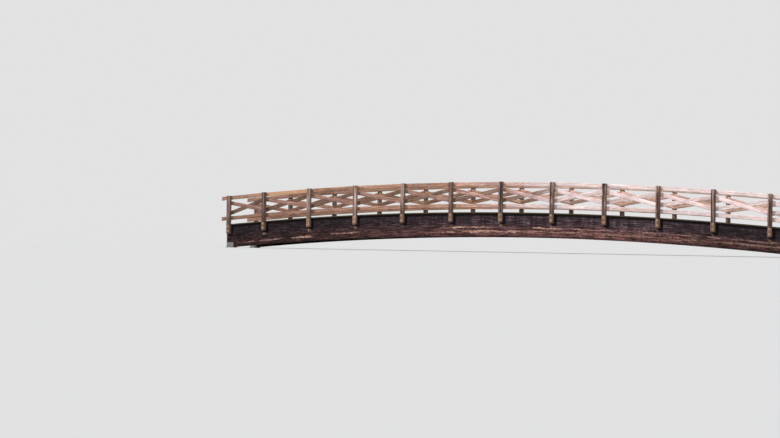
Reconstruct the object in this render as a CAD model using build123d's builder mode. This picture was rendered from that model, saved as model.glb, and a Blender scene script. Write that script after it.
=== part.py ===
from build123d import *
from math import cos, hypot, radians, sin, sqrt
import os

# Wooden footbridge: two arched glued-laminated girders carry a plank deck, and plumb posts bolted
# to the girders' outer faces carry railings with crossed braces. Sizes are in millimetres.
# X runs along the bridge from mid-span, Y across it from the centre line, Z up from the
# underside of the steel shoes. The near side is -Y and the far side +Y; left is -X, right +X.

# Spacing of the posts
bay = 1905.0
full_bays = 10
end_bay = 1510.0
girder_past_end_post = 110.0
rail_past_end_post = 350.0

# Girders, sawn level at their seats and plumb at their ends
girder_spread = 2015.0
girder_width = 171.0
lamination = 38.1
lamination_count = 22
girder_top_radius = 112900.0
girder_eased_edge = 10.0
seat_length = 300.0

# Deck planks, notched round the posts
plank_thickness = 38.0
plank_overhang = 75.0
deck_joint = 6.5
post_notch_clearance = 4.0

# Posts, measured from the girder's top at each post; two have come to lean, by these degrees
post_size = 140.0
post_foot_drop = 314.0
post_above_rail = 12.0
post_eased_edge = 7.0
post_leans = {"near_post_04": 1.2, "near_post_07": 1.0}

# Railing boards, nailed to the posts' inner faces
rail_thickness = 38.0
rail_depth = 140.0
top_rail_height = 1110.0
bottom_rail_height = 339.0
brace_width = 140.0
brace_rail_clearance = 43.0
board_joint = 4.0
board_eased_edge = 3.0

# Cross beams between the girders, under every third post
beam_thickness = 89.0
beam_below_deck = 25.0
beam_above_underside = 250.0
posts_per_beam = 3

# Steel shoes under the girders' ends
shoe_base_thickness = 20.0
shoe_cheek_thickness = 10.0
shoe_cheek_height = 180.0
shoe_cheek_corner = 40.0
shoe_flange = 90.0
shoe_side_clearance = 0.5
anchor_hole_diameter = 22.0
shoe_weld = 6.0

# Places worked out from the sizes above
girder_depth = lamination * lamination_count
girder_face = girder_spread / 2
girder_centre = girder_face - girder_width / 2
end_post_place = full_bays * bay / 2 + end_bay
half_length = end_post_place + girder_past_end_post
seat_start = half_length - seat_length
underside_radius = girder_top_radius - girder_depth
crown_underside = shoe_base_thickness + underside_radius - sqrt(underside_radius**2 - seat_start**2)
crown = crown_underside + girder_depth
arch_centre = crown - girder_top_radius
full_bay_posts = [(number - full_bays / 2) * bay for number in range(full_bays + 1)]
post_places = [full_bay_posts[0] - end_bay] + full_bay_posts + [full_bay_posts[-1] + end_bay]
bay_ends = list(zip(post_places[:-1], post_places[1:]))
deck_half_width = girder_face + plank_overhang
brace_high_end = top_rail_height - rail_depth - brace_rail_clearance - brace_width / 2
brace_low_end = bottom_rail_height + brace_rail_clearance + brace_width / 2
beam_depth = girder_depth - beam_below_deck - beam_above_underside


def arch_height(x, above=0.0):
    """Height of the girder's curved top at x, or of the concentric curve a distance above it."""
    return arch_centre + sqrt((girder_top_radius + above) ** 2 - x**2)


def board_line(left_post, right_post, x):
    """Height at x of the straight line between the girder's top at two neighbouring posts."""
    left_height = arch_height(left_post)
    slope = (arch_height(right_post) - left_height) / (right_post - left_post)
    return left_height + slope * (x - left_post)


def board_cuts(left_post, right_post, past_end_post):
    """Where the boards of a bay are sawn: near the posts' centre lines, or past an end post."""
    left_cut = left_post + board_joint / 2
    right_cut = right_post - board_joint / 2
    if left_post == post_places[0]:
        left_cut = left_post - past_end_post
    if right_post == post_places[-1]:
        right_cut = right_post + past_end_post
    return left_cut, right_cut


def board_outline(left_cut, right_cut, left_height, right_height, plumb_depth):
    """Four corners of a board with plumb ends, round its centre line."""
    half = plumb_depth / 2
    return [
        (left_cut, left_height - half),
        (right_cut, right_height - half),
        (right_cut, right_height + half),
        (left_cut, left_height + half),
    ]


def finish(part, name):
    """Label a finished piece and write its file."""
    part.label = name
    export_step(part, f"parts/{name}.step")


os.makedirs("parts", exist_ok=True)
near_face = Plane.XZ.offset(girder_face)

# Arched girder: concentric top and underside, plumb ends and level seats
with BuildPart() as near_girder:
    with BuildSketch(near_face):
        with BuildLine():
            ThreePointArc(
                (-half_length, arch_height(half_length)),
                (0, crown),
                (half_length, arch_height(half_length)),
            )
            Line((half_length, arch_height(half_length)), (half_length, shoe_base_thickness))
            Line((half_length, shoe_base_thickness), (seat_start, shoe_base_thickness))
            ThreePointArc(
                (seat_start, shoe_base_thickness),
                (0, crown_underside),
                (-seat_start, shoe_base_thickness),
            )
            Line((-seat_start, shoe_base_thickness), (-half_length, shoe_base_thickness))
            Line((-half_length, shoe_base_thickness), (-half_length, arch_height(half_length)))
        make_face()
    extrude(amount=-girder_width)
    underside_edges = near_girder.edges().filter_by(GeomType.CIRCLE).group_by(SortBy.RADIUS)[0]
    chamfer(underside_edges, length=girder_eased_edge)
finish(near_girder.part, "near_girder")

with BuildPart() as far_girder:
    mirror(near_girder.part, about=Plane.XZ)
finish(far_girder.part, "far_girder")

# Deck: a curved strip sawn into one section a bay, with notches for the posts
with BuildPart() as deck:
    with BuildSketch(Plane.XZ):
        with BuildLine():
            ThreePointArc(
                (-half_length, arch_height(half_length)),
                (0, crown),
                (half_length, arch_height(half_length)),
            )
            Line(
                (half_length, arch_height(half_length)),
                (half_length, arch_height(half_length, plank_thickness)),
            )
            ThreePointArc(
                (half_length, arch_height(half_length, plank_thickness)),
                (0, crown + plank_thickness),
                (-half_length, arch_height(half_length, plank_thickness)),
            )
            Line(
                (-half_length, arch_height(half_length, plank_thickness)),
                (-half_length, arch_height(half_length)),
            )
        make_face()
    extrude(amount=deck_half_width, both=True)
    with Locations(*[(x, 0, crown) for x in post_places[1:-1]]):
        Box(deck_joint, 2 * deck_half_width, 2 * crown, mode=Mode.SUBTRACT)
    with Locations(*[(x, side * deck_half_width, crown) for x in post_places for side in (-1, 1)]):
        Box(
            post_size + 2 * post_notch_clearance,
            2 * plank_overhang,
            2 * crown,
            mode=Mode.SUBTRACT,
        )
finish(deck.part, "deck")

# Posts: square timbers on the girders' outer faces; a leaning one turns about the girder's top
for side_name, side in (("near", -1), ("far", 1)):
    for number, x in enumerate(post_places):
        post_name = f"{side_name}_post_{number:02d}"
        lean = radians(post_leans.get(post_name, 0.0))
        post_top = top_rail_height + post_above_rail
        post_axis = Plane(
            origin=(x, side * (girder_face + post_size / 2), arch_height(x)),
            x_dir=(cos(lean), 0, -sin(lean)),
            z_dir=(sin(lean), 0, cos(lean)),
        )
        with BuildPart() as post:
            with BuildSketch(post_axis.offset(-post_foot_drop)):
                Rectangle(post_size, post_size)
            extrude(amount=post_foot_drop + post_top)
            foot_edges = post.faces().sort_by(Axis.Z)[0].edges()
            chamfer(post.edges() - foot_edges, length=post_eased_edge)
        finish(post.part, post_name)

# Rails: one board a bay, butted on the posts' centre lines
for rail_name, height in (("top_rail", top_rail_height), ("bottom_rail", bottom_rail_height)):
    with BuildPart() as near_rail:
        with BuildSketch(near_face):
            for left_post, right_post in bay_ends:
                left_cut, right_cut = board_cuts(left_post, right_post, rail_past_end_post)
                middle = height - rail_depth / 2
                left_height = board_line(left_post, right_post, left_cut) + middle
                right_height = board_line(left_post, right_post, right_cut) + middle
                corners = board_outline(left_cut, right_cut, left_height, right_height, rail_depth)
                with BuildLine():
                    Polyline(*corners, close=True)
                make_face()
        extrude(amount=-rail_thickness)
        long_edges = near_rail.edges().filter_by(lambda edge: edge.length > 2 * rail_depth)
        chamfer(long_edges, length=board_eased_edge)
    finish(near_rail.part, f"near_{rail_name}")

    with BuildPart() as far_rail:
        mirror(near_rail.part, about=Plane.XZ)
    finish(far_rail.part, f"far_{rail_name}")

# Crossed braces: two boards a bay in the plane of the rails
with BuildPart() as near_braces:
    with BuildSketch(near_face):
        for left_post, right_post in bay_ends:
            left_cut, right_cut = board_cuts(left_post, right_post, post_size / 2)
            for left_end, right_end in (
                (brace_high_end, brace_low_end),
                (brace_low_end, brace_high_end),
            ):
                run = right_post - left_post
                start = arch_height(left_post) + left_end
                rise = arch_height(right_post) + right_end - start
                left_height = start + rise * (left_cut - left_post) / run
                right_height = start + rise * (right_cut - left_post) / run
                plumb_depth = brace_width * hypot(run, rise) / run
                corners = board_outline(left_cut, right_cut, left_height, right_height, plumb_depth)
                with BuildLine():
                    Polyline(*corners, close=True)
                make_face()
    extrude(amount=-rail_thickness)
    long_edges = near_braces.edges().filter_by(lambda edge: edge.length > 2 * brace_width)
    chamfer(long_edges, length=board_eased_edge)
finish(near_braces.part, "near_braces")

with BuildPart() as far_braces:
    mirror(near_braces.part, about=Plane.XZ)
finish(far_braces.part, "far_braces")

# Cross beams: deep timbers that keep the girders upright
for number, x in enumerate(post_places[::posts_per_beam], start=1):
    with BuildPart() as cross_beam:
        with BuildSketch(Plane.XY.offset(arch_height(x) - beam_below_deck)):
            with Locations((x, 0)):
                Rectangle(beam_thickness, girder_spread - 2 * girder_width)
        extrude(amount=-beam_depth)
    finish(cross_beam.part, f"cross_beam_{number}")

# Shoes: a base plate with an anchor hole in each flange, and two welded cheeks round the girder
cheek_offset = girder_width / 2 + shoe_side_clearance + shoe_cheek_thickness / 2
anchor_offset = cheek_offset + shoe_cheek_thickness / 2 + shoe_flange / 2
shoe_width = 2 * (cheek_offset + shoe_cheek_thickness / 2 + shoe_flange)
for side_name, side in (("near", -1), ("far", 1)):
    for end_name, end in (("left", -1), ("right", 1)):
        shoe_x = end * (half_length - seat_length / 2)
        shoe_y = side * girder_centre
        with BuildPart() as shoe:
            with BuildSketch():
                with Locations((shoe_x, shoe_y)):
                    Rectangle(seat_length, shoe_width)
                with Locations((shoe_x, shoe_y - anchor_offset), (shoe_x, shoe_y + anchor_offset)):
                    Circle(anchor_hole_diameter / 2, mode=Mode.SUBTRACT)
            extrude(amount=shoe_base_thickness)
            for cheek_side in (-1, 1):
                cheek_y = shoe_y + cheek_side * cheek_offset
                with BuildSketch(Plane.XZ.offset(-cheek_y)) as cheek:
                    with Locations((shoe_x, shoe_base_thickness)):
                        Rectangle(seat_length, shoe_cheek_height, align=(Align.CENTER, Align.MIN))
                    fillet(cheek.vertices().group_by(Axis.Y)[-1], radius=shoe_cheek_corner)
                extrude(amount=shoe_cheek_thickness / 2, both=True)
            flat_edges = shoe.edges().filter_by(Axis.X).group_by(Axis.Z)
            weld_lines = flat_edges[1].sort_by(Axis.Y)
            outer_weld_lines = [weld_lines[1], weld_lines[-2]]
            fillet(outer_weld_lines, radius=shoe_weld)
        finish(shoe.part, f"{side_name}_{end_name}_shoe")
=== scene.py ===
import math
import random

import bmesh
import bpy
from mathutils import Matrix, Vector


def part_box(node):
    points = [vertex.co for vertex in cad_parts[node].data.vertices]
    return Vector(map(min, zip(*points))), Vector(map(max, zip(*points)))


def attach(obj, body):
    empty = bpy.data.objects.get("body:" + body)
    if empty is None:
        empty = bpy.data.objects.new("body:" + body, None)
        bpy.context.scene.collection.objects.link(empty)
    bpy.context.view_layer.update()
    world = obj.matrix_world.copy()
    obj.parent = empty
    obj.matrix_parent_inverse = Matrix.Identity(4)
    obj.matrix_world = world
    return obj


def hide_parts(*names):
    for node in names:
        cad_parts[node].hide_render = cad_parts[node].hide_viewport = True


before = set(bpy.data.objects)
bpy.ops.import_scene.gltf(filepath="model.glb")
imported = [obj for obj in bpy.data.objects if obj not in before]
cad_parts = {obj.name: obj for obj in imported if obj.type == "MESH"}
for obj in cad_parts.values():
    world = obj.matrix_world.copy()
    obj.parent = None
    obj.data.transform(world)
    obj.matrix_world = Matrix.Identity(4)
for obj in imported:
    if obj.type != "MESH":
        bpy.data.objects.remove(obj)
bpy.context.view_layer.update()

# View: from the near side, 58 m off, well to the right of mid-span and a hand above the floor. The
# long lens is turned 24 degrees to the left, so the bridge is seen slightly from below and its
# right-hand end is the nearer one.
def new_object(name, data):
    """Puts a mesh, a lamp or a camera in the scene."""
    made = bpy.data.objects.new(name, data)
    bpy.context.scene.collection.objects.link(made)
    return made


camera_data = bpy.data.cameras.new("view")
camera_data.sensor_width = 36.0
camera_data.lens = 79.24
camera_data.clip_end = 2000.0
camera = new_object("view", camera_data)
camera.matrix_world = (
    Matrix.Translation((21.587, -58.042, 0.209))
    @ Matrix.Rotation(math.radians(24.435), 4, "Z")
    @ Matrix.Rotation(math.radians(90.854), 4, "X")
    @ Matrix.Rotation(math.radians(0.965), 4, "Z")
)
bpy.context.scene.camera = camera


# Floor and light: a wide pale floor, an even pale light all round it, and one soft lamp high on the
# left of the near side. Together they show a colour about as it is written.
def add_node(tree, kind, joins=None, **settings):
    """Adds a node with its settings; joins gives an input a value or another node's output."""
    node = tree.nodes.new(kind)
    for name, value in settings.items():
        setattr(node, name, value)
    for name, value in (joins or {}).items():
        if isinstance(value, bpy.types.NodeSocket):
            tree.links.new(value, node.inputs[name])
        else:
            node.inputs[name].default_value = value
    return node


def reckon(tree, operation, *values):
    """The result of a sum on one, two or three values."""
    return add_node(tree, "ShaderNodeMath", dict(enumerate(values)), operation=operation).outputs[0]


def tint(red, green, blue):
    """A colour given in the 0 to 255 of a screen, as the linear colour that a node takes."""
    shares = [value / 255 for value in (red, green, blue)]
    return [s / 12.92 if s <= 0.04045 else ((s + 0.055) / 1.055) ** 2.4 for s in shares] + [1.0]


def new_finish(name, roughness):
    """A new material, with its node tree and its surface shader."""
    material = bpy.data.materials.new(name)
    material.use_nodes = True
    surface = material.node_tree.nodes["Principled BSDF"]
    surface.inputs["Roughness"].default_value = roughness
    surface.inputs["Specular IOR Level"].default_value = 0.3
    return material, material.node_tree, surface


floor_reach = 500.0
floor_mesh = bpy.data.meshes.new("floor")
floor_corners = [(x * floor_reach, y * floor_reach, 0.0) for x, y in ((-1, -1), (1, -1), (1, 1), (-1, 1))]
floor_mesh.from_pydata(floor_corners, [], [(0, 1, 2, 3)])
floor = new_object("floor", floor_mesh)
floor_paint, tree, surface = new_finish("floor_paint", 0.9)
surface.inputs["Base Color"].default_value = tint(240, 240, 239)
floor_mesh.materials.append(floor_paint)

world = bpy.data.worlds.new("pale_surround")
bpy.context.scene.world = world
world.use_nodes = True
surround = world.node_tree
surround.nodes.clear()
even_light = add_node(surround, "ShaderNodeBackground", {"Color": tint(250, 251, 255), "Strength": 0.45})
backdrop = add_node(surround, "ShaderNodeBackground", {"Color": tint(226, 226, 226), "Strength": 1.0})
ray = add_node(surround, "ShaderNodeLightPath").outputs
seen = reckon(surround, "MAXIMUM", ray["Is Camera Ray"], ray["Is Glossy Ray"])
seen = reckon(surround, "MAXIMUM", seen, ray["Is Transmission Ray"])
shades = {0: seen, 1: even_light.outputs[0], 2: backdrop.outputs[0]}
shown = add_node(surround, "ShaderNodeMixShader", shades)
add_node(surround, "ShaderNodeOutputWorld", {"Surface": shown.outputs[0]})

lamp_data = bpy.data.lights.new("soft_lamp", "SUN")
lamp_data.energy = 2.1
lamp_data.angle = math.radians(5)
lamp = new_object("soft_lamp", lamp_data)
lamp.rotation_euler = Vector((-0.46, -0.62, 0.64)).to_track_quat("Z", "Y").to_euler()
bpy.context.scene.view_settings.view_transform = "Standard"


# Girders: two glued-laminated timbers, 22 boards deep, bent to the arch before they were glued, and
# stained dark brown. Rain has streaked them from above, the stain has worn to a redder brown below,
# and pale wood frays along the glue lines that have opened and under some of the posts' feet.
bay = 1.905
lamination = 0.0381
top_radius = 112.9
arch_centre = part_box("near_girder")[1].z - top_radius


def minus(tree, first, second):
    """The first value less the second."""
    return reckon(tree, "SUBTRACT", first, second)


def scaled(tree, value, factor, rest):
    """A value times a factor, with the rest added."""
    return reckon(tree, "MULTIPLY_ADD", value, factor, rest)


def times(tree, *values):
    """The product of several values."""
    product = values[0]
    for value in values[1:]:
        product = reckon(tree, "MULTIPLY", product, value)
    return product


def fade(tree, value, start, end):
    """0 before start and 1 past end, eased between them; the other way round if end is lower."""
    sizes = {"Value": value, "From Min": start, "From Max": end}
    return add_node(tree, "ShaderNodeMapRange", sizes, interpolation_type="SMOOTHSTEP").outputs[0]


def between(tree, value, low, high):
    """A value from 0 to 1 turned into one from low to high."""
    sizes = {"Value": value, "To Min": low, "To Max": high}
    return add_node(tree, "ShaderNodeMapRange", sizes).outputs[0]


def blend(tree, amount, first, second, how="MIX"):
    """Two colours mixed."""
    joins = {0: amount, 6: first, 7: second}
    return add_node(tree, "ShaderNodeMix", joins, data_type="RGBA", blend_type=how).outputs[2]


def vector(tree, x, y, z):
    """A vector from its three values."""
    return add_node(tree, "ShaderNodeCombineXYZ", {"X": x, "Y": y, "Z": z}).outputs[0]


def mottle(tree, place, repeats, detail=2.0, warp=0.0):
    """Soft random blotches, with the number of repeats a metre along each axis."""
    stretched = add_node(tree, "ShaderNodeVectorMath", {0: place, 1: repeats}, operation="MULTIPLY")
    joins = {"Vector": stretched.outputs[0], "Scale": 1.0, "Detail": detail, "Distortion": warp}
    return add_node(tree, "ShaderNodeTexNoise", joins).outputs["Fac"]


def lot(tree, first, second=0.0, third=0.0):
    """A random value from 0 to 1, the same wherever the values are the same."""
    drawn = {"Vector": vector(tree, first, second, third)}
    return add_node(tree, "ShaderNodeTexWhiteNoise", drawn).outputs["Value"]


def paint(tree, surface, colour, relief, depth):
    """Gives a surface its colour, and a relief of a depth in metres."""
    tree.links.new(colour, surface.inputs["Base Color"])
    bump = add_node(tree, "ShaderNodeBump", {"Height": relief, "Distance": depth})
    tree.links.new(bump.outputs[0], surface.inputs["Normal"])


def axes(tree, values):
    """The three values of a vector, by the names of their axes."""
    return add_node(tree, "ShaderNodeSeparateXYZ", {0: values}).outputs


def coat(name, material):
    """Gives one of the solids its material."""
    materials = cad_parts[name].data.materials
    materials.clear()
    materials.append(material)


def place_and_facing(tree):
    """Where on the bridge a spot lies, and which way its surface faces."""
    source = add_node(tree, "ShaderNodeTexCoord").outputs
    return axes(tree, source["Object"]), axes(tree, source["Normal"])


def arch_coordinates(tree):
    """Place along the bridge, across it, and down from the girders' top, with the surface's own facing."""
    place, facing = place_and_facing(tree)
    up = minus(tree, place["Z"], arch_centre)
    along_squared = times(tree, place["X"], place["X"])
    reach = reckon(tree, "SQRT", scaled(tree, up, up, along_squared))
    down = minus(tree, top_radius, reach)
    return place["X"], place["Y"], down, facing


def stain(tree, colour, shade, *amounts):
    """A colour covered with a shade given in 0 to 255, as far as the product of the amounts goes."""
    return blend(tree, times(tree, *amounts), colour, tint(*shade))


def vary(tree, colour, low, high, value):
    """A colour made darker or lighter by a value from 0 to 1, between two shares of itself."""
    share = between(tree, value, low, high)
    grey = add_node(tree, "ShaderNodeCombineColor", {"Red": share, "Green": share, "Blue": share})
    return blend(tree, 1.0, colour, grey.outputs[0], "MULTIPLY")


def broken(tree, pattern, fibres, start, end):
    """Patches of a pattern, 0 to 1, with edges that break up along the fibres."""
    frayed = scaled(tree, fibres, 0.55, minus(tree, pattern, 0.275))
    return fade(tree, frayed, start, end)


glulam, tree, surface = new_finish("stained_glulam", 0.78)
surface.inputs["Specular IOR Level"].default_value = 0.12
along, across, down, facing = arch_coordinates(tree)
place = vector(tree, along, across, down)
layer = reckon(tree, "FLOOR", reckon(tree, "DIVIDE", down, lamination))
in_layer = reckon(tree, "FRACT", reckon(tree, "DIVIDE", down, lamination))
board = reckon(tree, "FLOOR", scaled(tree, along, 0.23, lot(tree, layer)))
outside = times(tree, facing["Y"], reckon(tree, "SIGN", across))
outside = fade(tree, outside, 0.4, 0.6)

wander = mottle(tree, place, (1.3, 1.0, 3.0))
low_part = fade(tree, scaled(tree, wander, 0.3, down), 0.4, 0.82)
colour = blend(tree, low_part, tint(54, 42, 46), tint(67, 44, 43))
# Painted sunlight and shade: the girders grow lighter from the left end to about five metres right of
# mid-span, and darker again towards the right end.
colour = vary(tree, colour, 0.45, 2.15, fade(tree, along, -9.5, 4.8))
colour = vary(tree, colour, 1.0, 0.35, fade(tree, along, 5.2, 8.4))
colour = vary(tree, colour, 0.74, 1.28, lot(tree, layer, board))
fibres = mottle(tree, place, (2.4, 60.0, 110.0), 4.0)
fine_grain = mottle(tree, place, (8.0, 90.0, 330.0), 3.0)
streaks = mottle(tree, place, (2.6, 3.0, 24.0), 2.0)
colour = vary(tree, colour, 0.46, 1.58, broken(tree, streaks, fibres, 0.36, 0.64))
blotches = mottle(tree, place, (1.9, 1.0, 5.0), 3.0, 0.4)
colour = vary(tree, colour, 0.68, 1.38, broken(tree, blotches, fibres, 0.38, 0.62))
specks = mottle(tree, place, (11.0, 3.0, 24.0), 2.0)
colour = vary(tree, colour, 0.54, 1.5, broken(tree, specks, fibres, 0.36, 0.64))
worn = broken(tree, mottle(tree, place, (2.3, 1.0, 27.0), 3.0, 0.3), fibres, 0.58, 0.68)
colour = stain(tree, colour, (142, 106, 95), worn, low_part, 0.45)
flecks = broken(tree, mottle(tree, place, (5.0, 1.0, 26.0), 3.0), fibres, 0.58, 0.66)
colour = stain(tree, colour, (116, 92, 86), flecks, fade(tree, along, 1.0, -5.0), 0.42)

for runs, sharp, amount in ((5.0, 0.1, 0.5), (15.0, 0.08, 0.42)):
    rain = mottle(tree, place, (runs, 2.0, 0.5), 2.0)
    rain = times(tree, fade(tree, rain, 0.5 - sharp / 2, 0.5 + sharp), fade(tree, down, 0.62, 0.2), amount)
    colour = stain(tree, colour, (34, 27, 32), rain)

# Glue lines that have opened. Each row says how many boards down one lies, where along the bridge it
# starts, is fully open, closes and ends, how much of it goes on past its end, and how thin it is.
opened_lines = (
    (18.0, -10.5, -9.9, -9.2, -8.7, 0.0, 0.4),
    (17.5, -8.6, -8.3, -7.7, -7.4, 0.0, 0.38),
    (15.9, -7.1, -6.7, -5.9, -5.5, 0.0, 0.38),
    (13.0, -2.1, -1.9, -0.6, -0.1, 0.1, 0.34),
    (13.2, 0.6, 1.3, 2.9, 3.7, 0.45, 0.43),
    (16.2, 0.9, 1.4, 2.6, 3.2, 0.2, 0.45),
    (16.7, -1.9, -1.1, 0.5, 0.9, 0.3, 0.34),
    (17.8, -3.6, -1.6, 0.4, 1.8, 0.2, 0.46),
)
splinters = mottle(tree, place, (8.0, 1.0, 130.0), 3.0)
raw_wood = blend(tree, fade(tree, specks, 0.4, 0.6), tint(168, 130, 113), tint(226, 181, 160))
raw_wood = vary(tree, raw_wood, 0.5, 1.16, fade(tree, splinters, 0.36, 0.58))
ragged = scaled(tree, splinters, 0.06, -0.03)
open_cracks = 0.0
for boards_down, start, whole, closing, end, left, thin in opened_lines:
    spot = vector(tree, along, across, boards_down + 0.1 * start)
    wave = mottle(tree, spot, (2.4, 1.0, 1.0), 4.0)
    below = minus(tree, down, boards_down * lamination + 0.05)
    off_line = reckon(tree, "ABSOLUTE", scaled(tree, wave, 0.1, below))
    width = minus(tree, mottle(tree, spot, (1.7, 1.0, 1.0), 3.0), thin)
    width = scaled(tree, width, 0.13, ragged)
    frayed = fade(tree, minus(tree, width, off_line), -0.001, 0.004)
    still_open = between(tree, fade(tree, along, end, closing), left, 1.0)
    frayed = times(tree, frayed, fade(tree, along, start, whole), still_open, outside)
    colour = blend(tree, frayed, colour, raw_wood)
    crack = times(tree, frayed, fade(tree, off_line, 0.0035, 0.001))
    open_cracks = reckon(tree, "MAXIMUM", open_cracks, crack)
colour = stain(tree, colour, (30, 21, 20), open_cracks, 0.85)
checks = times(tree, fade(tree, mottle(tree, place, (0.9, 1.0, 62.0), 2.0), 0.62, 0.66), outside)
colour = stain(tree, colour, (18, 13, 14), checks, 0.6)
colour = vary(tree, colour, 0.58, 1.42, fibres)
colour = vary(tree, colour, 0.76, 1.24, fine_grain)

rubbed_spot = 0.43
off_post = reckon(tree, "FRACT", scaled(tree, along, 1 / bay, 0.5))
off_post = scaled(tree, off_post, bay, -bay / 2)
to_post = reckon(tree, "ABSOLUTE", off_post)
to_crown = reckon(tree, "ABSOLUTE", along)
under_foot = reckon(tree, "ABSOLUTE", minus(tree, down, rubbed_spot))
under_foot = times(tree, fade(tree, under_foot, 0.09, 0.02), fade(tree, to_post, 0.17, 0.04))
most = reckon(tree, "MAXIMUM", fade(tree, along, -4.4, -5.2), fade(tree, to_crown, 0.9, 0.4))
frays = reckon(tree, "ADD", reckon(tree, "ADD", splinters, fibres), minus(tree, specks, 0.5))
rubbed = fade(tree, times(tree, under_foot, frays), 0.72, 1.08)
rubbed = times(tree, rubbed, between(tree, most, 0.25, 0.85), outside)
# Painted shadow: a near-black patch on the girders' outer faces, to the right of each post and down to below
# its foot, where the post casts its shade.
post_shadow = times(tree, fade(tree, off_post, 0.2, 0.14), fade(tree, off_post, -0.05, 0.0))
post_shadow = times(tree, post_shadow, fade(tree, down, 0.43, 0.37), outside, 0.85)
colour = stain(tree, colour, (15, 11, 12), post_shadow)
colour = stain(tree, colour, (172, 136, 116), rubbed)

# Painted shadow: a near-black band along the top of the girders' outer faces, where the deck's overhang casts
# its shade.
darkened = times(tree, fade(tree, down, 0.125, 0.07), outside, 0.85)
colour = stain(tree, colour, (24, 19, 21), darkened)
low_edge = fade(tree, scaled(tree, wander, 0.03, down), 0.765, 0.82)
colour = vary(tree, colour, 1.0, 0.5, low_edge)
glue_line = reckon(tree, "MINIMUM", in_layer, minus(tree, 1.0, in_layer))
glue_line = fade(tree, glue_line, 0.06, 0.015)
colour = stain(tree, colour, (28, 20, 21), glue_line, 0.6)
hollow = reckon(tree, "MAXIMUM", reckon(tree, "MAXIMUM", glue_line, open_cracks), checks)
relief = scaled(tree, hollow, -0.8, scaled(tree, fine_grain, 0.4, fibres))
paint(tree, surface, colour, relief, 0.003)

for name in ("near_girder", "far_girder"):
    coat(name, glulam)


# Deck: thirteen softwood planks to each bay, laid crosswise and nailed to the girders with a narrow
# gap for the rain. They are sawn round the posts, grey-brown underfoot, and their ends have gone
# olive with grime.
plank_width = 0.14
plank_thickness = 0.038
plank_length = 2.165
plank_edge = 0.004
planks_in_bay = 13
planks_in_end_bay = 11
end_post_place = 5 * bay + 1.51
post_places = [-end_post_place] + [(number - 5) * bay for number in range(11)] + [end_post_place]
deck_end = end_post_place + 0.11


def arch_height(x, above=0.0):
    """Height of the girders' top at x, or of the curve a distance above it."""
    return arch_centre + math.sqrt((top_radius + above) ** 2 - x**2)


def ring_lines(tree, grain, tone):
    """The darker late wood of the growth rings, as a sawn face shows it, from a place in the board."""
    spot = axes(tree, grain)
    drift = mottle(tree, vector(tree, spot["X"], times(tree, tone, 90.0), 0.0), (0.55, 1.0, 1.0))
    off_heart = reckon(tree, "ADD", spot["Y"], between(tree, drift, -0.22, 0.22))
    heart = vector(tree, spot["X"], off_heart, reckon(tree, "ADD", spot["Z"], 0.045))
    joins = {"Vector": heart, "Scale": 55.0, "Distortion": 5.0, "Detail": 2.0, "Detail Scale": 0.03}
    settings = {"wave_type": "RINGS", "rings_direction": "X", "wave_profile": "SAW"}
    rings = add_node(tree, "ShaderNodeTexWave", joins, **settings)
    return fade(tree, rings.outputs["Fac"], 0.25, 1.0)


def attribute(tree, name):
    """What a mesh carries under a name, as a vector, a colour or a single value."""
    return add_node(tree, "ShaderNodeAttribute", attribute_name=name).outputs


deck_timber, tree, surface = new_finish("deck_timber", 0.85)
place, facing = place_and_facing(tree)
tone = attribute(tree, "plank_tone")["Fac"]
grain = vector(tree, scaled(tree, tone, 31.0, place["Y"]), place["X"], place["Z"])
fibres = mottle(tree, grain, (2.2, 70.0, 70.0), 3.0)
bands = mottle(tree, grain, (0.7, 16.0, 16.0), 2.0, 0.6)
colour = blend(tree, bands, tint(134, 118, 102), tint(104, 88, 74))
colour = stain(tree, colour, (146, 122, 98), fade(tree, tone, 0.55, 0.95))
colour = vary(tree, colour, 0.82, 1.16, tone)
colour = vary(tree, colour, 0.75, 1.22, fibres)
spot = axes(tree, attribute(tree, "plank_spot")["Vector"])
rings = ring_lines(tree, vector(tree, spot["Y"], spot["X"], spot["Z"]), tone)
colour = vary(tree, colour, 1.08, 0.74, rings)
trodden = fade(tree, reckon(tree, "ABSOLUTE", place["Y"]), 0.75, 0.2)
colour = stain(tree, colour, (158, 144, 128), trodden, 0.25)
splits = fade(tree, mottle(tree, grain, (1.1, 95.0, 95.0), 1.0), 0.66, 0.7)
colour = stain(tree, colour, (52, 42, 35), splits, 0.6)
at_end = fade(tree, reckon(tree, "ABSOLUTE", facing["Y"]), 0.5, 0.8)
end_grime = mottle(tree, grain, (9.0, 22.0, 22.0), 3.0)
end_colour = blend(tree, end_grime, tint(88, 77, 49), tint(52, 42, 33))
colour = blend(tree, at_end, colour, end_colour)
from_below = fade(tree, facing["Z"], -0.5, -0.8)
colour = stain(tree, colour, (66, 54, 47), from_below, 0.6)
paint(tree, surface, colour, scaled(tree, splits, -0.7, fibres), 0.0025)


def new_tree(name, sizes):
    """A tree of geometry nodes that takes points and named sizes, with its input and output."""
    tree = bpy.data.node_groups.new(name, "GeometryNodeTree")
    tree.interface.new_socket("Points", in_out="INPUT", socket_type="NodeSocketGeometry")
    for size, value in sizes.items():
        kind = "NodeSocketInt" if isinstance(value, int) else "NodeSocketFloat"
        tree.interface.new_socket(size, in_out="INPUT", socket_type=kind)
    tree.interface.new_socket("Made", in_out="OUTPUT", socket_type="NodeSocketGeometry")
    return tree, add_node(tree, "NodeGroupInput").outputs


def made_real(tree, shape):
    """Instances turned into a mesh."""
    return add_node(tree, "GeometryNodeRealizeInstances", {"Geometry": shape}).outputs[0]


def set_out(tree, points, shape, **more):
    """A shape put on each of some points."""
    joins = {"Points": points, "Instance": shape, **more}
    return add_node(tree, "GeometryNodeInstanceOnPoints", joins).outputs[0]


def marked(tree, shape, name, value, **settings):
    """A shape that carries a value under a name."""
    joins = {"Geometry": shape, "Name": name, "Value": value}
    return add_node(tree, "GeometryNodeStoreNamedAttribute", joins, **settings).outputs[0]


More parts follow.
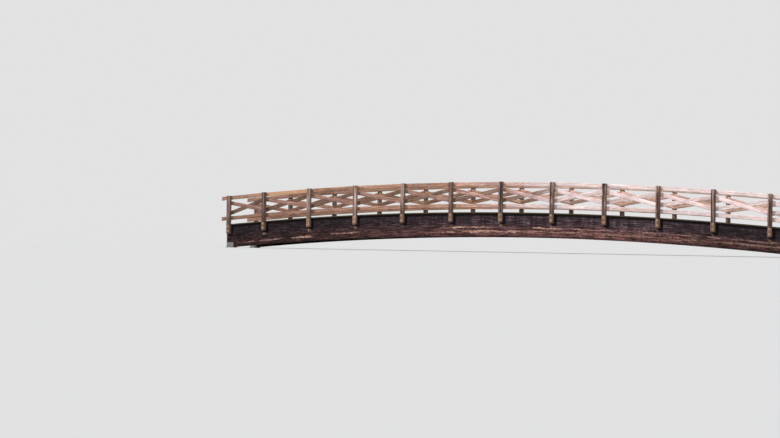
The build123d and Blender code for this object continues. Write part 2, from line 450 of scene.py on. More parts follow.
def grow(name, tree, points, sizes):
    """Runs a tree on points and returns the piece that it makes, as a plain mesh."""
    piece = new_object(name, points)
    modifier = piece.modifiers.new(name, "NODES")
    modifier.node_group = tree
    for socket in tree.interface.items_tree:
        if socket.in_out == "INPUT" and socket.name in sizes:
            modifier[socket.identifier] = sizes[socket.name]
    made = piece.evaluated_get(bpy.context.evaluated_depsgraph_get())
    mesh = bpy.data.meshes.new_from_object(made)
    piece.modifiers.clear()
    piece.data = mesh
    mesh.name = name
    return piece


def finish_tree(tree, shape, material):
    """Ends a tree: instances made real, then their material."""
    joins = {"Geometry": made_real(tree, shape), "Material": material}
    coated = add_node(tree, "GeometryNodeSetMaterial", joins)
    add_node(tree, "NodeGroupOutput", {0: coated.outputs[0]})


plank_places = []
for left, right in zip([-deck_end] + post_places[1:-1], post_places[1:-1] + [deck_end]):
    count = planks_in_bay if right - left > bay - 0.01 else planks_in_end_bay
    plank_places += [left + (number + 0.5) * (right - left) / count for number in range(count)]
deck_points = [(x, 0.0, arch_height(x, plank_thickness / 2)) for x in plank_places]
notch_points = [
    (x, side * plank_length / 2, arch_height(x, plank_thickness / 2)) for x in post_places for side in (-1, 1)
]
points = bpy.data.meshes.new("deck_points")
points.from_pydata(deck_points + notch_points, [], [])
is_notch = points.attributes.new("is_notch", "BOOLEAN", "POINT")
is_notch.data.foreach_set("value", [False] * len(deck_points) + [True] * len(notch_points))

plank_sizes = {
    "Plank Width": plank_width,
    "Plank Thickness": plank_thickness,
    "Plank Length": plank_length,
    "Eased Edge": plank_edge,
    "Uneven Ends": 0.002,
    "Notch Length": 0.148,
    "Notch Depth": 0.075,
    "Arch Centre": arch_centre,
    "Seed": 5,
}
tree, size = new_tree("planks", plank_sizes)
chosen = add_node(tree, "GeometryNodeInputNamedAttribute", {"Name": "is_notch"}, data_type="BOOLEAN")
joins = {"Geometry": size["Points"], "Selection": chosen.outputs[0]}
sorted_points = add_node(tree, "GeometryNodeSeparateGeometry", joins).outputs
joins = {"Width": size["Plank Width"], "Height": size["Plank Thickness"]}
section = add_node(tree, "GeometryNodeCurvePrimitiveQuadrilateral", joins)
joins = {"Curve": section.outputs[0], "Radius": size["Eased Edge"]}
eased = add_node(tree, "GeometryNodeFilletCurve", joins, mode="POLY")
half_length = times(tree, size["Plank Length"], 0.5)
near_end = vector(tree, 0.0, times(tree, half_length, -1.0), 0.0)
joins = {"Start": near_end, "End": vector(tree, 0.0, half_length, 0.0)}
run = add_node(tree, "GeometryNodeCurvePrimitiveLine", joins)
joins = {"Curve": run.outputs[0], "Profile Curve": eased.outputs[0], "Fill Caps": True}
plank = add_node(tree, "GeometryNodeCurveToMesh", joins).outputs[0]
spot = add_node(tree, "GeometryNodeInputPosition").outputs[0]
plank = marked(tree, plank, "plank_spot", spot, data_type="FLOAT_VECTOR", domain="POINT")

spot = axes(tree, spot)
slope = reckon(tree, "ARCTAN2", spot["X"], minus(tree, spot["Z"], size["Arch Centre"]))
turned = add_node(tree, "FunctionNodeEulerToRotation", {0: vector(tree, 0.0, slope, 0.0)}).outputs[0]
shortest = minus(tree, 1.0, size["Uneven Ends"])
cut = add_node(tree, "FunctionNodeRandomValue", {2: shortest, 3: 1.0, "Seed": size["Seed"]}).outputs[1]
cut = vector(tree, 1.0, cut, 1.0)
laid = set_out(tree, sorted_points["Inverted"], plank, Rotation=turned, Scale=cut)
plank_tone = add_node(tree, "FunctionNodeRandomValue", {2: 0.0, 3: 1.0, "Seed": 11}).outputs[1]
laid = marked(tree, laid, "plank_tone", plank_tone, data_type="FLOAT", domain="INSTANCE")
notch_size = vector(tree, size["Notch Length"], times(tree, size["Notch Depth"], 2.0), 0.5)
notch = add_node(tree, "GeometryNodeMeshCube", {"Size": notch_size})
notches = set_out(tree, sorted_points["Selection"], notch.outputs[0])
joins = {0: made_real(tree, laid), 1: made_real(tree, notches)}
sawn = add_node(tree, "GeometryNodeMeshBoolean", joins, operation="DIFFERENCE", solver="EXACT")
finish_tree(tree, sawn.outputs[0], deck_timber)
deck_planks = grow("deck_planks", tree, points, plank_sizes)
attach(deck_planks, "root")
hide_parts("deck")


# Posts: square softwood timbers, bolted flat to the girders' outer faces, with the notched planks
# round them. Sun and rain have split them with long checks that follow the grain; below the deck,
# where it is drier, they have kept a yellower brown.
girder_face = 1.0075
post_size = 0.14
post_edge = 0.007
post_foot = -0.314
post_top = 1.122
post_leans = {"near_post_04": 1.2, "near_post_07": 1.0}
bolt_drops = (0.047, 0.226)


def moved(tree, place, x, y, z):
    """A place moved by three values."""
    joins = {0: place, 1: vector(tree, x, y, z)}
    return add_node(tree, "ShaderNodeVectorMath", joins).outputs[0]


def wood_colour(tree, grain, tone, plain, warm):
    """Colour and relief of a dry weathered timber, from the place along, across and through it."""
    rings = ring_lines(tree, grain, tone)
    shift = times(tree, tone, 47.0)
    grain = moved(tree, grain, shift, shift, 0.0)
    fibres = mottle(tree, grain, (2.0, 60.0, 60.0), 3.0)
    bands = mottle(tree, grain, (0.8, 14.0, 14.0), 2.0, 0.8)
    lines = mottle(tree, grain, (3.0, 150.0, 150.0), 3.0)
    colour = blend(tree, broken(tree, bands, lines, 0.4, 0.62), plain, warm)
    colour = vary(tree, colour, 0.74, 1.26, fibres)
    colour = vary(tree, colour, 0.84, 1.16, lines)
    colour = vary(tree, colour, 1.09, 0.76, rings)
    patches = mottle(tree, grain, (1.2, 7.0, 7.0), 2.0)
    colour = vary(tree, colour, 0.8, 1.2, broken(tree, patches, lines, 0.34, 0.66))
    specks = mottle(tree, grain, (5.0, 26.0, 26.0), 3.0)
    colour = vary(tree, colour, 0.76, 1.26, broken(tree, specks, lines, 0.34, 0.66))
    split = fade(tree, mottle(tree, grain, (0.9, 75.0, 75.0), 1.0), 0.66, 0.72)
    colour = stain(tree, colour, (60, 44, 38), split, 0.45)
    around = add_node(tree, "ShaderNodeVectorMath", {0: grain, 1: (1.5, 9.0, 9.0)}, operation="MULTIPLY")
    knot = add_node(tree, "ShaderNodeTexVoronoi", {"Vector": around.outputs[0], "Scale": 1.0})
    knot = fade(tree, knot.outputs["Distance"], 0.16, 0.06)
    colour = stain(tree, colour, (84, 58, 45), knot, 0.6)
    relief = scaled(tree, split, -0.8, scaled(tree, lines, 0.4, fibres))
    return colour, relief


post_timber, tree, surface = new_finish("post_timber", 0.82)
place, facing = place_and_facing(tree)
tone = attribute(tree, "post_tone")["Fac"]
check = attribute(tree, "check")["Fac"]
spot = axes(tree, attribute(tree, "post_spot")["Vector"])
height = spot["Z"]
grain = vector(tree, height, spot["X"], spot["Y"])
plain = blend(tree, tone, tint(108, 82, 72), tint(200, 167, 156))
warm = blend(tree, tone, tint(96, 69, 57), tint(174, 137, 121))
colour, relief = wood_colour(tree, grain, tone, plain, warm)
own_grain = moved(tree, grain, tone, 0.0, tone)
pale = fade(tree, mottle(tree, own_grain, (1.6, 15.0, 15.0), 3.0), 0.45, 0.57)
# Painted sunlight: towards the right, where the sun falls, the pale weathered patches grow stronger, and so
# do the dark streaks.
sunlit_part = fade(tree, place["X"], -5.0, -3.0)
pale = times(tree, pale, fade(tree, height, 0.1, 0.45), between(tree, sunlit_part, 0.6, 1.0))
colour = blend(tree, pale, colour, blend(tree, tone, tint(164, 134, 124), tint(212, 184, 174)))
dingy = mottle(tree, own_grain, (0.45, 19.0, 19.0), 2.0)
dingy = fade(tree, scaled(tree, sunlit_part, 0.035, dingy), 0.53, 0.57)
dingy = times(tree, dingy, between(tree, sunlit_part, 0.75, 0.95))
colour = stain(tree, colour, (46, 32, 28), dingy)
wet = times(tree, fade(tree, height, 0.42, 0.1), fade(tree, height, -0.05, 0.05), 0.42)
colour = stain(tree, colour, (70, 50, 44), wet)
foot = fade(tree, height, 0.0, -0.1)
colour = stain(tree, colour, (138, 102, 80), foot, 0.5)
halos = []
for drop in bolt_drops:
    off_bolt = reckon(tree, "ADD", height, drop)
    off_bolt = times(tree, off_bolt, off_bolt)
    off_bolt = reckon(tree, "SQRT", scaled(tree, spot["X"], spot["X"], off_bolt))
    halos.append(fade(tree, off_bolt, 0.046, 0.03))
on_face = fade(tree, reckon(tree, "ABSOLUTE", facing["Y"]), 0.5, 0.8)
halo = times(tree, reckon(tree, "MAXIMUM", *halos), on_face, 0.6)
colour = stain(tree, colour, (186, 152, 112), halo)
toe = fade(tree, height, -0.22, -0.3)
colour = stain(tree, colour, (84, 62, 50), toe, 0.6)
far_side = fade(tree, place["Y"], -0.2, 0.2)
# Painted shade: the far posts are darker from about 0.3 m above the girders' top upward.
colour = vary(tree, colour, 1.0, 0.86, times(tree, far_side, fade(tree, height, 0.25, 0.4)))
# Painted sunlight: a tan patch at the top of the far posts, right of about four metres left of mid-span.
far_top_sunlight = times(tree, far_side, fade(tree, height, 0.74, 0.84), fade(tree, place["X"], -5.2, -3.6), 0.75)
colour = stain(tree, colour, (200, 153, 120), far_top_sunlight)
# Painted shade: the posts at the left end are darker.
colour = vary(tree, colour, 0.68, 1.0, fade(tree, place["X"], -10.8, -10.0))
sideways = fade(tree, reckon(tree, "ABSOLUTE", facing["X"]), 0.5, 0.8)
colour = stain(tree, colour, (140, 124, 110), sideways, 0.5)
end_grain = fade(tree, reckon(tree, "ABSOLUTE", facing["Z"]), 0.5, 0.9)
colour = stain(tree, colour, (96, 82, 74), end_grain, 0.5)
# Painted shade: the insides of the checks are darkened.
colour = stain(tree, colour, (30, 22, 20), fade(tree, check, 0.0, 0.8))
paint(tree, surface, colour, relief, 0.002)


def post_ring(height, checks):
    """Points round a post at a height, each with how deep it lies in a check."""
    half = post_size / 2
    ring = []
    for face in range(4):
        quarter = Matrix.Rotation(face * math.pi / 2, 2)
        edge = [(-half + post_edge, 0.0, 0.0)]
        for middle, start, end, width, depth, sway in checks[face]:
            share = (height - start) / (end - start)
            opened = math.sin(math.pi * share) ** 0.6 if 0 < share < 1 else 0.0
            centre = middle + 0.004 * math.sin(sway + 5 * height)
            spread = 0.0003 + width * opened
            edge.append((centre - spread, 0.0, 0.0))
            edge.append((centre, depth * opened, opened))
            edge.append((centre + spread, 0.0, 0.0))
        edge.append((half - post_edge, 0.0, 0.0))
        for side, inward, opened in edge:
            turned = quarter @ Vector((side, inward - half))
            ring.append((turned.x, turned.y, opened))
    return ring


def post_mesh(name, place, side, lean, draw):
    """A post with eased edges and its checks cut into it, leaning about the girder's top."""
    checks = []
    for face in range(4):
        spots = [-0.032, 0.024] if draw.random() < 0.5 else [draw.uniform(-0.02, 0.02)]
        found = []
        for spot in spots:
            start = draw.uniform(-0.5, 0.5)
            end = start + draw.uniform(0.5, 1.1)
            width = draw.uniform(0.0015, 0.005)
            middle = spot + draw.uniform(-0.01, 0.01)
            depth = draw.uniform(0.012, 0.03)
            found.append((middle, start, end, width, depth, draw.uniform(0, 6)))
        checks.append(found)
    steps = 28
    heights = [post_foot + (post_top - post_edge - post_foot) * step / steps for step in range(steps + 1)]
    rings = [[(x, y, height, opened) for x, y, opened in post_ring(height, checks)] for height in heights]
    lid = (post_size - 2 * post_edge) / post_size
    rings.append([(x * lid, y * lid, post_top, opened) for x, y, height, opened in rings[-1]])
    count = len(rings[0])
    top_row = (len(rings) - 1) * count
    faces = []
    for row in range(0, top_row, count):
        for spot in range(count):
            following = (spot + 1) % count
            faces.append((row + spot, row + following, row + count + following, row + count + spot))
    faces.append(tuple(reversed(range(count))))
    faces.append(tuple(range(top_row, top_row + count)))
    mesh = bpy.data.meshes.new(name)
    mesh.from_pydata([point[:3] for ring in rings for point in ring], [], faces)
    opened = mesh.attributes.new("check", "FLOAT", "POINT")
    opened.data.foreach_set("value", [point[3] for ring in rings for point in ring])
    toned = mesh.attributes.new("post_tone", "FLOAT", "POINT")
    toned.data.foreach_set("value", [draw.random()] * len(mesh.vertices))
    placed = mesh.attributes.new("post_spot", "FLOAT_VECTOR", "POINT")
    placed.data.foreach_set("vector", [value for ring in rings for point in ring for value in point[:3]])
    pivot = Vector((place, side * (girder_face + post_size / 2), arch_height(place)))
    mesh.transform(Matrix.Translation(pivot) @ Matrix.Rotation(math.radians(lean), 4, "Y"))
    mesh.materials.append(post_timber)
    return mesh


sides = (("near", -1), ("far", 1))
draw = random.Random(34601)
for side_name, side in sides:
    for number, place in enumerate(post_places):
        node = f"{side_name}_post_{number:02d}"
        mesh = post_mesh(f"{node}_timber", place, side, post_leans.get(node, 0.0), draw)
        post = new_object(f"{node}_timber", mesh)
        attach(post, "root")
        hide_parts(node)


# Rails: softwood boards on edge, nailed to the posts' inner faces, one to each bay. Towards the right they
# carry painted sunlight, up to a pinkish white, and towards the left end painted shade; between, they are a
# warm brown. One near top board is newer, and the near bottom boards at the left are darker.
def board_paint(tree, along, across, grain, tone, rise):
    """Colour and relief of the railing's boards, and how much painted sunlight lightens them.

    Their lower edges, rise metres below, are painted darker as shade, and their upper edges lighter as a
    painted highlight.
    """
    plain = blend(tree, tone, tint(164, 127, 109), tint(206, 163, 142))
    # Painted shade: the boards are darker towards the left end.
    plain = vary(tree, plain, 0.66, 1.14, fade(tree, along, -9.5, -1.5))
    near = fade(tree, across, 0.2, -0.2)
    # Painted sunlight: the boards grow pale towards the right, where the sun falls, the near ones to a
    # pinkish white and the far ones less, to a pale tan.
    sunlit_pale = blend(tree, tone, tint(232, 203, 198), tint(247, 233, 232))
    sunlit_pale = blend(tree, near, tint(236, 194, 168), sunlit_pale)
    patches = mottle(tree, grain, (0.9, 5.0, 5.0), 2.0)
    wisps = mottle(tree, grain, (2.0, 70.0, 70.0), 3.0)
    patches = scaled(tree, wisps, 0.9, minus(tree, patches, 0.45))
    reach = scaled(tree, patches, 1.6, minus(tree, along, 0.4))
    sunlit_share = times(tree, fade(tree, reach, -1.2, 2.6), between(tree, near, 0.85, 1.0))
    plain = blend(tree, sunlit_share, vary(tree, plain, 1.06, 1.0, near), sunlit_pale)
    warm = blend(tree, sunlit_share, tint(172, 127, 102), tint(224, 192, 183))
    colour, relief = wood_colour(tree, grain, tone, plain, warm)
    colour = blend(tree, times(tree, sunlit_share, near, 0.3), colour, plain)
    # Painted shade along the boards' lower edges, and a painted highlight along their upper edges.
    colour = vary(tree, colour, 0.6, 1.0, fade(tree, rise, 0.0, 0.035))
    colour = vary(tree, colour, 1.0, 1.14, fade(tree, rise, 0.1, 0.135))
    return colour, relief, sunlit_share


top_rail_underside = 0.97
bottom_rail_underside = 0.199
between_rails = 0.6
newer_board_bay = -5.0
railing_boards, tree, surface = new_finish("railing_boards", 0.85)
along, across, down, facing = arch_coordinates(tree)
bay_number = reckon(tree, "FLOOR", reckon(tree, "DIVIDE", along, bay))
bottom_rail = reckon(tree, "GREATER_THAN", down, -between_rails)
tone = lot(tree, bay_number, bottom_rail, reckon(tree, "SIGN", across))
above = times(tree, down, -1.0)
underside = between(tree, bottom_rail, top_rail_underside, bottom_rail_underside)
rise = minus(tree, above, underside)
through = minus(tree, girder_face, reckon(tree, "ABSOLUTE", across))
grain = vector(tree, along, rise, through)
colour, relief, sunlit_share = board_paint(tree, along, across, grain, tone, rise)
near_side = reckon(tree, "LESS_THAN", across, 0.0)
near_top = reckon(tree, "GREATER_THAN", minus(tree, near_side, bottom_rail), 0.5)
newer = times(tree, near_top, reckon(tree, "COMPARE", bay_number, newer_board_bay, 0.5), 0.55)
colour = stain(tree, colour, (228, 178, 140), newer)
# The near bottom boards at the left end are darker.
darkened = times(tree, bottom_rail, near_side, fade(tree, along, -7.3, -8.1))
colour = vary(tree, colour, 1.0, 0.74, darkened)
end_grain = fade(tree, reckon(tree, "ABSOLUTE", facing["X"]), 0.7, 0.9)
colour = stain(tree, colour, (112, 90, 78), end_grain, 0.5)
paint(tree, surface, colour, relief, 0.002)
for name in ("near_top_rail", "far_top_rail", "near_bottom_rail", "far_bottom_rail"):
    coat(name, railing_boards)


# Braces: a long low cross of softwood boards in each bay, in the plane of the rails. One runs through from
# the upper left to the lower right, and two are butted against it and nailed. Those two are darker, and all
# three of one near bay carry less painted sunlight.
board_thickness = 0.038
board_width = 0.14
brace_high_end = 0.857
brace_low_end = 0.452
board_gap = 0.002
board_edge = 0.003
brace_timber, tree, surface = new_finish("brace_timber", 0.85)
place = place_and_facing(tree)[0]
grain = attribute(tree, "grain")["Vector"]
tone = attribute(tree, "board_tone")["Fac"]
shade = attribute(tree, "board_shade")
through_board = fade(tree, axes(tree, shade["Vector"])["X"], 0.75, 0.9)
# Painted sunlight starts further right on the braces than on the rails, and one near bay gets less of it.
off_bay = reckon(tree, "ABSOLUTE", minus(tree, place["X"], bay / 2))
near_side = reckon(tree, "LESS_THAN", place["Y"], 0.0)
less_sunlit_bay = times(tree, fade(tree, off_bay, 0.96, 0.95), near_side, 0.7)
later = minus(tree, minus(tree, place["X"], 0.6), less_sunlit_bay)
rise = axes(tree, grain)["Y"]
colour, relief, sunlit_share = board_paint(tree, later, place["Y"], grain, tone, rise)
# As painted sunlight falls on them, the darker pieces lose their darkness and the through board grows lighter
# still.
shade = blend(tree, times(tree, sunlit_share, sunlit_share, 0.8), shade["Color"], (1.0, 1.0, 1.0, 1.0))
colour = blend(tree, 1.0, colour, shade, "MULTIPLY")
colour = vary(tree, colour, 1.0, 1.15, times(tree, sunlit_share, through_board))
paint(tree, surface, colour, relief, 0.002)


def crossing(first, second):
    """Where two lines given as (height at x 0, rise for each metre) meet."""
    x = (second[0] - first[0]) / (first[1] - second[1])
    return (x, first[0] + first[1] * x)


def board_edges(left, right, left_height, right_height):
    """The lines of the lower and upper edges of a board across a bay, from its heights at the ends."""
    start = arch_height(left) + left_height
    rise = (arch_height(right) + right_height - start) / (right - left)
    middle = start - rise * left
    half = board_width / 2 * math.hypot(1, rise)
    return (middle - half, rise), (middle + half, rise)


def point_on(line, x):
    """The point of a line at x."""
    return (x, line[0] + line[1] * x)


def brace_outlines(left, right, side):
    """Corners of a bay's three boards, each with the slope of its grain and its shade."""
    start, end = left + board_gap, right - board_gap
    under, over = board_edges(left, right, brace_high_end, brace_low_end)
    low, high = board_edges(left, right, brace_low_end, brace_high_end)
    under_gap = (under[0] - board_gap, under[1])
    over_gap = (over[0] + board_gap, over[1])
    through = [point_on(under, start), point_on(under, end), point_on(over, end), point_on(over, start)]
    left_half = [point_on(low, start), crossing(low, under_gap)]
    left_half += [crossing(high, under_gap), point_on(high, start)]
    right_half = [crossing(low, over_gap), point_on(low, end)]
    right_half += [point_on(high, end), crossing(high, over_gap)]
    # Colour factors of the through board and the two halves: the halves darker, the near through board a
    # little cooler.
    piece_tints = ((0.94, 0.96, 1.1), (0.52, 0.54, 0.55), (0.54, 0.56, 0.58))
    if side > 0:
        piece_tints = ((1.0, 1.0, 0.98), (0.66, 0.66, 0.64), (0.66, 0.66, 0.64))
    slopes = (under[1], low[1], low[1])
    return list(zip((through, left_half, right_half), slopes, piece_tints))


def add_board(mesh, corners, slope, low_y, high_y, tone, shade, layers):
    """Adds a board of eased edges between two planes, marked with its grain, tone and shade."""
    part = bmesh.new()
    near_corners = [part.verts.new((x, low_y, z)) for x, z in corners]
    far_corners = [part.verts.new((x, high_y, z)) for x, z in corners]
    part.faces.new(near_corners)
    part.faces.new(list(reversed(far_corners)))
    for spot in range(4):
        after = (spot + 1) % 4
        part.faces.new((near_corners[after], near_corners[spot], far_corners[spot], far_corners[after]))
    bmesh.ops.bevel(part, geom=part.edges[:], offset=board_edge, segments=1, profile=0.5, affect="EDGES")
    grain_along = Vector((1.0, 0.0, slope)).normalized()
    grain_across = Vector((-slope, 0.0, 1.0)).normalized()
    origin = Vector((corners[0][0], 0.0, corners[0][1]))
    made = {}
    for vertex in part.verts:
        copy = mesh.verts.new(vertex.co)
        offset = vertex.co - origin
        copy[layers[0]] = Vector((offset.dot(grain_along), offset.dot(grain_across), offset.y))
        copy[layers[1]] = tone
        copy[layers[2]] = Vector(shade)
        made[vertex] = copy
    for face in part.faces:
        mesh.faces.new([made[vertex] for vertex in face.verts])
    part.free()


bay_ends = list(zip(post_places[:-1], post_places[1:]))
for side_name, side in sides:
    boards = bmesh.new()
    layers = (
        boards.verts.layers.float_vector.new("grain"),
        boards.verts.layers.float.new("board_tone"),
        boards.verts.layers.float_vector.new("board_shade"),
    )
    low_y, high_y = sorted((side * girder_face, side * (girder_face - board_thickness)))
    for left, right in bay_ends:
        for corners, slope, shade in brace_outlines(left, right, side):
            add_board(boards, corners, slope, low_y, high_y, draw.random(), shade, layers)
    mesh = bpy.data.meshes.new(f"{side_name}_brace_boards")
    boards.to_mesh(mesh)
    boards.free()
    mesh.materials.append(brace_timber)
    braces = new_object(f"{side_name}_brace_boards", mesh)
    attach(braces, "root")
    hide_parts(f"{side_name}_braces")


# Bolts: two through each post and girder, 16 mm thick, of galvanised steel, with a round washer under
# the hexagon head outside and under the nut inside. The wood has stained them.
dull_zinc, tree, surface = new_finish("dull_zinc", 0.55)
source = add_node(tree, "ShaderNodeTexCoord").outputs["Object"]
spangle = add_node(tree, "ShaderNodeTexVoronoi", {"Vector": source, "Scale": 140.0}).outputs["Distance"]
cloud = mottle(tree, source, (6.0, 6.0, 6.0), 3.0)
colour = blend(tree, fade(tree, spangle, 0.1, 0.8), tint(172, 146, 130), tint(208, 180, 162))
colour = stain(tree, colour, (122, 88, 68), fade(tree, cloud, 0.5, 0.7))
surface.inputs["Metallic"].default_value = 0.35
paint(tree, surface, colour, cloud, 0.0005)

bolt_sizes = {
    "Washer Radius": 0.024,
    "Washer Thickness": 0.004,
    "Head Radius": 0.0138,
    "Head Height": 0.010,
    "Seed": 3,
}


def raised(tree, shape, height):
    """A shape moved up by a height."""
    joins = {"Geometry": shape, "Translation": vector(tree, 0.0, 0.0, height)}
    return add_node(tree, "GeometryNodeTransform", joins).outputs[0]


def faced(tree):
    """The turn that stands a shape up along the way its point faces."""
    outward = add_node(tree, "GeometryNodeInputNamedAttribute", {"Name": "outward"}, data_type="FLOAT_VECTOR")
    joins = {"Vector": outward.outputs[0]}
    return add_node(tree, "FunctionNodeAlignRotationToVector", joins, axis="Z").outputs[0]


def drive(name, tree, spots, sizes):
    """Grows a shape on spots given as a place and the way it faces, as one piece."""
    points = bpy.data.meshes.new(f"{name}_points")
    points.from_pydata([place for place, way in spots], [], [])
    outward = points.attributes.new("outward", "FLOAT_VECTOR", "POINT")
    outward.data.foreach_set("vector", [value for place, way in spots for value in way])
    return grow(name, tree, points, sizes)


bolt_tree, size = new_tree("bolt_heads", bolt_sizes)
washer_top = size["Washer Thickness"]
joins = {"Vertices": 16, "Radius": size["Washer Radius"], "Depth": washer_top}
washer = add_node(bolt_tree, "GeometryNodeMeshCylinder", joins).outputs[0]
washer = raised(bolt_tree, washer, times(bolt_tree, washer_top, 0.5))
head_sides = times(bolt_tree, size["Head Height"], 0.75)
joins = {"Vertices": 6, "Radius": size["Head Radius"], "Depth": head_sides}
head = add_node(bolt_tree, "GeometryNodeMeshCylinder", joins).outputs[0]
head = raised(bolt_tree, head, scaled(bolt_tree, head_sides, 0.5, washer_top))
joins = {
    "Vertices": 6,
    "Radius Top": times(bolt_tree, size["Head Radius"], 0.78),
    "Radius Bottom": size["Head Radius"],
    "Depth": times(bolt_tree, size["Head Height"], 0.25),
}
crown = add_node(bolt_tree, "GeometryNodeMeshCone", joins).outputs[0]
crown = raised(bolt_tree, crown, reckon(bolt_tree, "ADD", head_sides, washer_top))
bolt = add_node(bolt_tree, "GeometryNodeJoinGeometry")
for shape in (washer, head, crown):
    bolt_tree.links.new(shape, bolt.inputs[0])
spin = add_node(bolt_tree, "FunctionNodeRandomValue", {2: 0.0, 3: math.tau, "Seed": size["Seed"]}).outputs[1]
spin = add_node(bolt_tree, "FunctionNodeEulerToRotation", {0: vector(bolt_tree, 0.0, 0.0, spin)})
joins = {0: faced(bolt_tree), 1: spin.outputs[0]}
spun = add_node(bolt_tree, "FunctionNodeRotateRotation", joins, rotation_space="LOCAL")
driven = set_out(bolt_tree, size["Points"], bolt.outputs[0], Rotation=spun.outputs[0])
finish_tree(bolt_tree, driven, dull_zinc)

girder_width = 0.171
bolt_spots = []
for side_name, side in sides:
    for number, x in enumerate(post_places):
        lean = math.radians(post_leans.get(f"{side_name}_post_{number:02d}", 0.0))
        for drop in bolt_drops:
            spot_x = x - drop * math.sin(lean)
            height = arch_height(x) - drop * math.cos(lean)
            bolt_spots.append(((spot_x, side * (girder_face + post_size), height), (0, side, 0)))
            bolt_spots.append(((spot_x, side * (girder_face - girder_width), height), (0, -side, 0)))
post_bolts = drive("post_bolts", bolt_tree, bolt_spots, bolt_sizes)
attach(post_bolts, "root")


# Nails: round nails of steel wire, driven through the boards into the posts from the walk, and
# through the planks into the girders. Their heads have rusted.
rusty_nail, tree, surface = new_finish("rusty_nail", 0.8)
source = add_node(tree, "ShaderNodeTexCoord").outputs["Object"]
rust = mottle(tree, source, (60.0, 60.0, 60.0), 3.0)
colour = blend(tree, rust, tint(74, 50, 38), tint(118, 84, 62))
surface.inputs["Metallic"].default_value = 0.3
paint(tree, surface, colour, rust, 0.0003)

nail_sizes = {"Head Radius": 0.005, "Head Height": 0.0015}
nail_tree, size = new_tree("nail_heads", nail_sizes)
joins = {
    "Vertices": 8,
    "Radius Top": times(nail_tree, size["Head Radius"], 0.6),
    "Radius Bottom": size["Head Radius"],
    "Depth": size["Head Height"],
}
nail_head = add_node(nail_tree, "GeometryNodeMeshCone", joins)
driven = set_out(nail_tree, size["Points"], nail_head.outputs[0], Rotation=faced(nail_tree))
finish_tree(nail_tree, driven, rusty_nail)

board_nail_spots = []
rail_nail_heights = (1.075, 1.005, 0.304, 0.234)
brace_nail_heights = (0.88, 0.83, 0.48, 0.43)
nail_off_joint = 0.032
for side in (-1, 1):
    inner = side * (girder_face - board_thickness)
    for x in post_places:
        for way in (-1, 1):
            past_end = abs(x) == end_post_place and way * x > 0
            for height in rail_nail_heights + (() if past_end else brace_nail_heights):
                spot = (x + way * nail_off_joint, inner, arch_height(x) + height)
                board_nail_spots.append((spot, (0, -side, 0)))
board_nails = drive("board_nails", nail_tree, board_nail_spots, nail_sizes)
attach(board_nails, "root")

plank_nail_spots = []
nail_off_middle = 0.04
nail_stray = 0.012
for x in plank_places:
    for side in (-1, 1):
        for way in (-1, 1):
            nail_x = x + way * nail_off_middle
            nail_y = side * (girder_face - girder_width / 2 + draw.uniform(-nail_stray, nail_stray))
            spot = (nail_x, nail_y, arch_height(nail_x, plank_thickness))
            plank_nail_spots.append((spot, (nail_x / top_radius, 0, 1)))
plank_nails = drive("plank_nails", nail_tree, plank_nail_spots, nail_sizes)
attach(plank_nails, "root")


# Cross beams: deep sawn timbers between the girders, held at each end in a folded steel hanger that
# is nailed to the girder's inner face.
beam_timber, tree, surface = new_finish("beam_timber", 0.82)
along, across, down = arch_coordinates(tree)[:3]
tone = lot(tree, reckon(tree, "FLOOR", reckon(tree, "ADD", along, 0.5)))
colour, relief = wood_colour(tree, vector(tree, across, down, 0.0), tone, tint(92, 72, 62), tint(74, 55, 48))
drips = fade(tree, mottle(tree, vector(tree, across, down, along), (8.0, 0.8, 2.0), 3.0), 0.5, 0.7)
colour = stain(tree, colour, (44, 36, 34), drips, 0.45)
paint(tree, surface, colour, relief, 0.002)

hanger_reach = 0.075
hanger_height = 0.3
hanger_flange = 0.045
hanger_steel = 0.003
flange_nail_place = 0.027
cheek_nail_place = 0.045
hanger_nail_rises = (0.03, 0.09, 0.15, 0.21, 0.27)


def add_plate(mesh, low, high):
    """Adds a flat plate between two opposite corners."""
    spans = list(zip(low, high))
    corners = [mesh.verts.new((x, y, z)) for x in spans[0] for y in spans[1] for z in spans[2]]
    for face in ((0, 1, 3, 2), (4, 6, 7, 5), (0, 4, 5, 1), (2, 3, 7, 6), (0, 2, 6, 4), (1, 5, 7, 3)):
        mesh.faces.new([corners[spot] for spot in face])


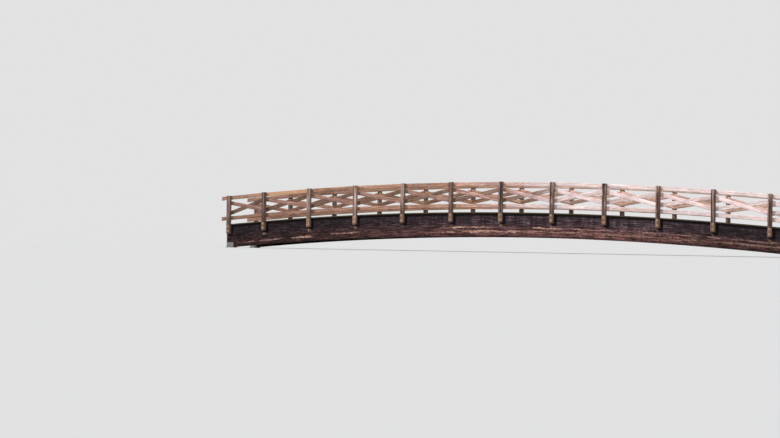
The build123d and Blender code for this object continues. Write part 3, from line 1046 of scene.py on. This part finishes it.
hangers = bmesh.new()
hanger_nail_spots = []
for number in range(1, 6):
    node = f"cross_beam_{number}"
    coat(node, beam_timber)
    low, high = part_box(node)
    for side in (-1, 1):
        wall = side * high.y
        deep = sorted((wall, wall - side * hanger_reach))
        skin = wall - side * hanger_steel
        flat = sorted((wall, skin))
        bottom, top = low.z - hanger_steel, low.z + hanger_height
        add_plate(hangers, (low.x - hanger_steel, deep[0], bottom), (high.x + hanger_steel, deep[1], low.z))
        for edge, way in ((low.x, -1), (high.x, 1)):
            near, far = sorted((edge, edge + way * hanger_steel))
            add_plate(hangers, (near, deep[0], low.z), (far, deep[1], top))
            near, far = sorted((edge + way * hanger_steel, edge + way * (hanger_steel + hanger_flange)))
            add_plate(hangers, (near, flat[0], low.z), (far, flat[1], top))
            for rise in hanger_nail_rises:
                spot = (edge + way * flange_nail_place, skin, low.z + rise)
                hanger_nail_spots.append((spot, (0, -side, 0)))
                spot = (edge + way * hanger_steel, wall - side * cheek_nail_place, low.z + rise)
                hanger_nail_spots.append((spot, (way, 0, 0)))
bmesh.ops.recalc_face_normals(hangers, faces=hangers.faces)
hanger_mesh = bpy.data.meshes.new("beam_hangers")
hangers.to_mesh(hanger_mesh)
hangers.free()
hanger_mesh.materials.append(dull_zinc)
beam_hangers = new_object("beam_hangers", hanger_mesh)
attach(beam_hangers, "root")
hanger_nails = drive("hanger_nails", nail_tree, hanger_nail_spots, nail_sizes)
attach(hanger_nails, "root")


# Shoes: of welded steel, hot-dip galvanised, one under each end of each girder. Two bolts through
# their cheeks hold the girder.
shoe_zinc, tree, surface = new_finish("shoe_zinc", 0.5)
source = add_node(tree, "ShaderNodeTexCoord").outputs["Object"]
spangle = add_node(tree, "ShaderNodeTexVoronoi", {"Vector": source, "Scale": 60.0}).outputs["Color"]
spangle = add_node(tree, "ShaderNodeSeparateColor", {0: spangle}).outputs["Red"]
cloud = mottle(tree, source, (5.0, 5.0, 5.0), 4.0)
colour = blend(tree, spangle, tint(112, 114, 113), tint(142, 144, 143))
colour = stain(tree, colour, (98, 88, 76), fade(tree, cloud, 0.52, 0.72))
tree.links.new(between(tree, spangle, 0.42, 0.6), surface.inputs["Roughness"])
surface.inputs["Metallic"].default_value = 0.75
paint(tree, surface, colour, cloud, 0.0008)

shoe_cheek = girder_width / 2 + 0.0105
shoe_bolt_shift = 0.075
shoe_bolt_height = 0.12
shoe_bolt_spots = []
for side_name, side in sides:
    girder_middle = side * (girder_face - girder_width / 2)
    for end_name in ("left", "right"):
        node = f"{side_name}_{end_name}_shoe"
        coat(node, shoe_zinc)
        low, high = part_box(node)
        for way in (-1, 1):
            for shift in (-shoe_bolt_shift, shoe_bolt_shift):
                spot = ((low.x + high.x) / 2 + shift, girder_middle + way * shoe_cheek, shoe_bolt_height)
                shoe_bolt_spots.append((spot, (0, way, 0)))
shoe_bolts = drive("shoe_bolts", bolt_tree, shoe_bolt_spots, bolt_sizes)
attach(shoe_bolts, "root")
